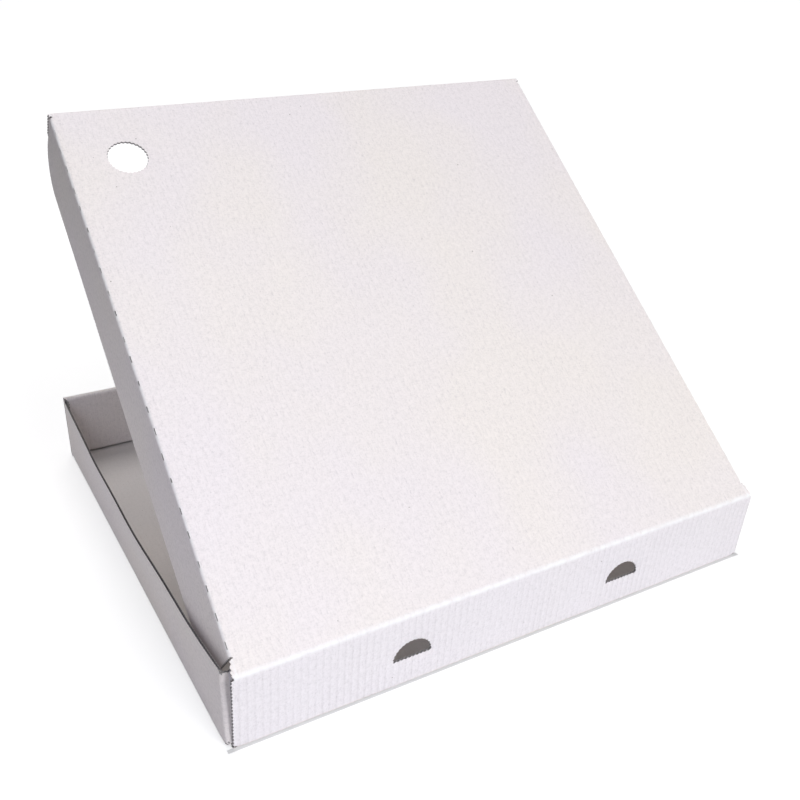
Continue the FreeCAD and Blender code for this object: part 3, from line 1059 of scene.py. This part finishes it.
@dataclass
class Tray(Blank):
    """Floor, side walls with corner flaps, rear wall, and the front rolled over them."""

    name: str = "tray_board"

    def __post_init__(self) -> None:
        """Draws the die lines of the tray."""
        folds, box, board = self.folds, self.folds.box, self.folds.board
        step = board.sample
        end, wall = box.end_half, folds.wall_end
        top = folds.side.end + box.side_wall - board.outer_bend
        front_tip = folds.corner.end + box.front_corner_flap - board.outer_bend
        rear_tip = folds.corner.end + box.rear_corner_flap - board.outer_bend
        low = folds.side.end + board.hair
        foot = folds.front_foot - box.foot_gap
        tab = folds.front_foot + box.tab_length
        near, far = box.tab_half_spacing - box.tab_half, box.tab_half_spacing + box.tab_half
        joint = folds.hinge_line - box.joint_reach
        down = folds.front[2]
        half = [
            Corner(near, -foot), Corner(near + box.tab_taper, -tab),
            Corner(far - box.tab_taper, -tab), Corner(far, -foot),
            Corner(end, -foot), Corner(end, -down.end, 0, Edge.PRESSED),
            Corner(box.front_half, -down.start, 0, Edge.PRESSED),
            Corner(box.front_half, -wall - 8 * board.hair, 0, Edge.PRESSED), Corner(low, -wall),
            Corner(low, -front_tip, box.corner_round), Corner(top, -front_tip, box.corner_round),
            Corner(top, rear_tip, box.corner_round), Corner(low, rear_tip, box.corner_round),
            Corner(low, wall), Corner(end, wall), Corner(end, joint, 0, Edge.JOINED),
        ]
        self.outlines = [Outline.through(mirrored(half), step)]
        inner = box.layer_gap - folds.roll_inner_face
        outer = inner - board.thickness - 2 * box.layer_gap
        reach = box.tab_half + box.layer_gap
        rise = folds.rear.end + box.vent_rise - board.outer_bend
        for side in (1, -1):
            middle = side * box.tab_half_spacing
            sides = ((-reach, outer), (-reach, inner), (reach, inner), (reach, outer))
            slot = [Corner(middle + across, along) for across, along in sides]
            self.outlines.append(Outline.through(slot, step))
            moon = Outline.half_moon(side * box.vent_half_spacing, rise, box.vent_radius, step)
            self.outlines.append(moon)
        bends = [(0, folds.side, 6), (0, Crease(-folds.side.end, 90, 1, folds.side.length), 6)]
        bends += [(1, folds.rear, 6), (1, folds.corner, 6)]
        for crease in (*folds.front, folds.corner):
            bends.append((1, Crease(-crease.end, 90, 1, crease.length), 6))
        self.rows = [(axis, crease.start, crease.end, count) for axis, crease, count in bends]

    def settle(self, flat: Array, spots: Array) -> Array:
        """Bows the side walls out between their corners, a little unevenly, and raises them at the
        rear.
        """
        folds, box = self.folds, self.folds.box
        moved = spots.copy()
        across, along = np.abs(flat[:, 0]), flat[:, 1]
        wall = (across > folds.side.end) & (np.abs(along) < folds.wall_end)
        share = np.clip((across - folds.side.end) / box.side_wall, 0, 1)
        length = np.clip(1 - (along / folds.wall_end) ** 2, 0, 1)
        sway = 1 + box.sway * ripple(flat, 120, 5)
        bow = wall * box.wall_bow * share ** 1.3 * length * sway
        moved[:, 0] += np.sign(flat[:, 0]) * bow

        # the walls stand a little taller at the rear corners
        climb = np.clip((along - box.rise_from) / (folds.wall_end - box.rise_from), 0, 1) ** 2
        drop = np.clip((folds.corner.end + 0.3 - along) / folds.corner.length, 0, 1)
        moved[:, 2] += (across > folds.side.end) * box.wall_rise * share * climb * drop
        return moved

    def build(self, finishes: Finishes) -> None:
        """Makes the tray's board and its fluting, and hides the plain solid."""
        shell, medium = self.dressed(finishes, "tray_board")
        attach(shell, "tray")
        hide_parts("tray")
        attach(medium, "tray")


@dataclass
class Lid(Blank):
    """Lid panel with two splayed side flaps, a front flap and one round hole."""

    name: str = "lid_board"

    def __post_init__(self) -> None:
        """Draws the die lines of the lid."""
        folds, box, board = self.folds, self.folds.box, self.folds.board
        step = board.sample
        hinge = folds.hinge_line
        near, far = (hinge + place for place in folds.flap_span)
        side = folds.lid_side
        fold, edge = side.start, folds.lid_flap_edge
        front = folds.lid_front.end + box.front_flap_depth - board.outer_fold
        start, slit = near + board.hair, board.slit
        half = [
            Corner(box.ear_half, hinge + box.joint_reach), Corner(folds.fold_half, start - slit),
            Corner(fold, start - slit, 0, Edge.SLIT), Corner(fold, start),
            Corner(edge, start, box.rear_round), Corner(edge, far, box.front_round),
            Corner(fold, far, 0, Edge.SLIT), Corner(fold, far + slit),
            Corner(box.lid_front_half, far + slit),
            Corner(box.lid_front_half, front, box.front_flap_round),
        ]
        self.outlines = [Outline.through(mirrored(half), step)]
        across = folds.fold_half - box.hole_from_side
        along = hinge + folds.lid_length - box.hole_from_front
        self.outlines.append(Outline.ring(across, along, box.hole_radius, step))
        self.outlines += self.nicks(side.start + side.length / 2, near, far)
        self.fine = 1.1
        self.rows = [
            (0, side.start, side.end, 6), (0, -side.end, -side.start, 6),
            (1, folds.lid_front.start, folds.lid_front.end, 6),
        ]

    def nicks(self, across: float, near: float, far: float) -> list[Outline]:
        """Short nicks through the side folds, opened more or less by the folding.

        Args:
            across: where the middle of the fold lies on the blank.
            near: where the side flap starts along the fold.
            far: where it ends.

        Returns:
            One outline a nick, on both sides of the lid.
        """
        # each nick sits, gapes and runs a little differently, and those by the hinge gape most
        draw = np.random.default_rng(23)
        box = self.folds.box
        made = []
        for side in (1, -1):
            for middle in np.arange(near + 5, far - 4, box.nick_spacing):
                middle += draw.uniform(-1.2, 1.2)
                half = box.nick_half * draw.uniform(0.7, 1.15)
                gape = draw.uniform(0.09, 0.2) - 0.06 * (middle - near) / (far - near)
                centre = side * across + draw.uniform(-0.15, 0.15)
                short = half - box.nick_point
                shape = (
                    (-gape, short), (0, half), (gape, short),
                    (gape, -short), (0, -half), (-gape, -short),
                )
                corners = [Corner(centre + x, middle + y, 0, Edge.PRESSED) for x, y in shape]
                made.append(Outline.through(corners, self.folds.board.sample))
        return made

    def settle(self, flat: Array, spots: Array) -> Array:
        """Spreads the lid a little towards its front, where the side flaps hold it least."""
        folds, box = self.folds, self.folds.box
        moved = spots.copy()
        reach = np.clip((flat[:, 1] - folds.hinge_line) / folds.lid_length, 0, 1)
        across = np.abs(flat[:, 0])
        flap = (folds.lid_flap_edge - across) / (folds.lid_flap_edge - folds.lid_side.end)
        hold = np.where(across < folds.lid_side.end, across / folds.lid_side.end, flap)
        moved[:, 0] += np.sign(flat[:, 0]) * box.lid_spread * reach ** 1.6 * hold
        return moved

    def build(self, finishes: Finishes) -> None:
        """Makes the lid's board and its fluting, and hides the plain solid."""
        shell, medium = self.dressed(finishes, "lid_board")
        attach(shell, "lid")
        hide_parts("lid")
        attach(medium, "lid")


@dataclass
class HingeCrease(Blank):
    """The band of board that bends where the rear wall turns into the lid."""

    name: str = "hinge_crease"
    cell: Optional[float] = 2.0

    def __post_init__(self) -> None:
        """Draws the band, notched at both ends of the crease."""
        folds, box = self.folds, self.folds.box
        hinge, reach, end = folds.hinge_line, box.joint_reach, box.end_half
        half = [
            Corner(end, hinge - reach), Corner(end, hinge - box.notch_mouth),
            Corner(end - box.notch, hinge - box.notch_flat),
            Corner(end - box.notch, hinge + box.notch_flat),
            Corner(end - box.notch_flat, hinge + box.notch_mouth),
            Corner(box.ear_half, hinge + reach, 0, Edge.JOINED),
        ]
        self.outlines = [Outline.through(mirrored(half), folds.board.sample)]
        self.rows = [(1, folds.hinge.start, folds.hinge.end, 6)]

    def settle(self, flat: Array, spots: Array) -> Array:
        """Makes the crest of the crease slightly uneven."""
        moved = spots.copy()
        near = np.exp(-(((flat[:, 1] - self.folds.hinge_line) / 1.0) ** 2))
        moved[:, 2] += near * self.folds.box.sway * ripple(flat * np.array((1.0, 0.2)), 7, 17)
        return moved

    def build(self, finishes: Finishes) -> None:
        """Makes the band and its fluting."""
        pieces = self.dressed(finishes, "lid_board")
        line, hold = self.folds.hinge_line, self.folds.box.joint_reach - 0.6
        ends = np.array([(0.0, line - hold), (0.0, line + hold)])
        start, end = (Vector(spot) * MM for spot in self.folds.place(ends, np.zeros(2)))
        for piece in pieces:
            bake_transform(piece)


# Studio


@dataclass(frozen=True)
class Photographer:
    """Where the photograph was taken from, in millimetres and degrees, and its lens."""

    eye: tuple[float, float, float] = (241.99, 470.15, 319.5)
    azimuth: float = 29.767
    elevation: float = 23.645
    roll: float = 0.184
    lens: float = 44.374
    sensor: float = 36
    shift: tuple[float, float] = (-0.0174, -0.0376)

    def set_up(self) -> None:
        """Makes the camera and gives it to the scene."""
        data = bpy.data.cameras.new("camera")
        data.lens = self.lens
        data.sensor_width = self.sensor
        data.shift_x, data.shift_y = self.shift
        data.clip_start, data.clip_end = 0.01, 50
        camera = bpy.data.objects.new("camera", data)
        turn, drop = math.radians(self.azimuth), math.radians(self.elevation)
        ahead = Vector((
            -math.sin(turn) * math.cos(drop), -math.cos(turn) * math.cos(drop), -math.sin(drop)
        ))
        right = ahead.cross(Vector((0, 0, 1))).normalized()
        up = right.cross(ahead)
        axes = Matrix((right, up, -ahead)).transposed().to_4x4()
        roll = Matrix.Rotation(math.radians(self.roll), 4, "Z")
        place = Matrix.Translation(Vector(self.eye) * MM)
        camera.matrix_world = place @ axes @ roll
        bpy.context.scene.collection.objects.link(camera)
        bpy.context.scene.camera = camera


@dataclass(frozen=True)
class Lamp:
    """A soft square lamp, in metres and watts."""

    name: str
    place: tuple[float, float, float]
    aim: tuple[float, float, float]
    size: float
    power: float
    colour: Colour = (1, 1, 1)

    def hang(self) -> None:
        """Hangs the lamp."""
        data = bpy.data.lights.new(self.name, "AREA")
        data.size = self.size
        data.energy = self.power
        data.color = self.colour
        lamp = bpy.data.objects.new(self.name, data)
        lamp.location = self.place
        aim = Vector(self.aim) - Vector(self.place)
        lamp.rotation_euler = aim.to_track_quat("-Z", "Y").to_euler()
        lamp.visible_camera = False
        bpy.context.scene.collection.objects.link(lamp)


@dataclass
class Studio:
    """Plain pale floor, white surroundings and soft lamps."""

    lamps: Sequence[Lamp] = (
        Lamp("key_lamp", (-0.6, 2.25, 1.1), (0, 0, 0.1), 1.4, 49),
        Lamp("top_lamp", (-0.5, 0.2, 2.6), (0, 0, 0.1), 2.0, 10),
        Lamp("front_lamp", (-0.05, -0.95, 1.25), (0, -0.05, 0.05), 0.9, 10, (1, 0.97, 0.95)),
        Lamp("side_lamp", (0.45, 0.55, 0.45), (0.1, -0.15, 0.03), 0.4, 1.2, (0.92, 0.96, 1.08)),
        Lamp("low_lamp", (0.4, -0.12, 0.03), (0.1, -0.12, 0.0), 0.18, 0.115, (1, 0.96, 0.97)),
        Lamp("low_rear_lamp", (0.4, 0.12, 0.03), (0.1, 0.12, 0.0), 0.18, 0.07, (1, 0.92, 0.9)),
    )
    ambient: Colour = (0.045, 0.05, 0.06)
    floor_half: float = 8.0
    floor_shown: float = 0.62
    floor_pale: float = 0.6
    floor_far: float = 0.12
    shade: float = 0.67
    shade_under: float = 2
    shade_reach: float = 2.9

    def set_up(self) -> None:
        """Makes the floor, the surroundings and the lamps."""
        bpy.context.scene.view_settings.view_transform = "Standard"
        self.lay_floor()
        self.surround()
        for lamp in self.lamps:
            lamp.hang()

    def seen(self, finish: Finish) -> Value:
        """One for what the camera, a reflection or glass sees, else nought."""
        kinds = ("Is Camera Ray", "Is Glossy Ray", "Is Transmission Ray")
        camera, glossy, glass = (finish.node("ShaderNodeLightPath", output=kind) for kind in kinds)
        return camera + glossy + glass > 0.5

    def lay_floor(self) -> None:
        """Lays a pale floor that looks white but keeps the box's shadow."""
        reach = self.floor_half
        corners = [(-reach, -reach, 0), (reach, -reach, 0), (reach, reach, 0), (-reach, reach, 0)]
        mesh = bpy.data.meshes.new("floor")
        mesh.from_pydata(corners, [], [(0, 1, 2, 3)])
        floor = bpy.data.objects.new("floor", mesh)
        bpy.context.scene.collection.objects.link(floor)
        finish = Finish("floor_paper")
        shader = finish.shader
        shader.inputs["Roughness"].default_value = 1
        shader.inputs["Specular IOR Level"].default_value = 0
        place = finish.node("ShaderNodeTexCoord", None, None, "Object")
        away = finish.node("ShaderNodeVectorMath", {"operation": "LENGTH"}, {0: place}, "Value")
        paper = finish.ramp(away, (0.28, self.floor_pale), (0.55, self.floor_far))
        finish.feed(shader.inputs["Base Color"], paper)
        level = finish.ramp(away, (0.28, self.floor_shown), (0.55, 1.0))
        level = level * (1 - self.foot_shade(finish, place))
        shown = finish.mix(self.seen(finish), (0, 0, 0), level)
        finish.feed(shader.inputs["Emission Color"], shown)
        shader.inputs["Emission Strength"].default_value = 1
        mesh.materials.append(finish.material)

    def foot_shade(self, finish: Finish, place: Value) -> Value:
        """Soft line of shade where the rear wall meets the floor."""
        box = Folds().box
        across, along = finish.split(place)
        ahead = (along - (box.depth / 2 - self.shade_under) * MM) * (1 / (self.shade_reach * MM))
        shade = finish.ramp(ahead, (0, 0), (0.02, self.shade), (0.75, self.shade), (1, 0))
        beside = (box.width / 2 * MM) - abs(across)
        return shade * (beside > 0.0)

    def surround(self) -> None:
        """Lights from all round at a plain level, and shows white."""
        world = bpy.data.worlds.new("surroundings")
        world.use_nodes = True
        bpy.context.scene.world = world
        tree = world.node_tree
        sky = tree.nodes["Background"]
        rays = tree.nodes.new("ShaderNodeLightPath")
        tint = tree.nodes.new("ShaderNodeMix")
        tint.data_type = "RGBA"
        tint.inputs[6].default_value = (*self.ambient, 1)
        tint.inputs[7].default_value = (1, 1, 1, 1)
        tree.links.new(rays.outputs["Is Camera Ray"], tint.inputs[0])
        tree.links.new(tint.outputs[2], sky.inputs["Color"])


def main() -> None:
    """Builds the studio and the box."""
    logging.basicConfig(level=logging.INFO, format="%(name)s: %(message)s")
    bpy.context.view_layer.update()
    Photographer().set_up()
    Studio().set_up()
    finishes = Finishes()
    for part in (Tray, Lid, HingeCrease):
        part().build(finishes)


if __name__ == "__main__":
    main()
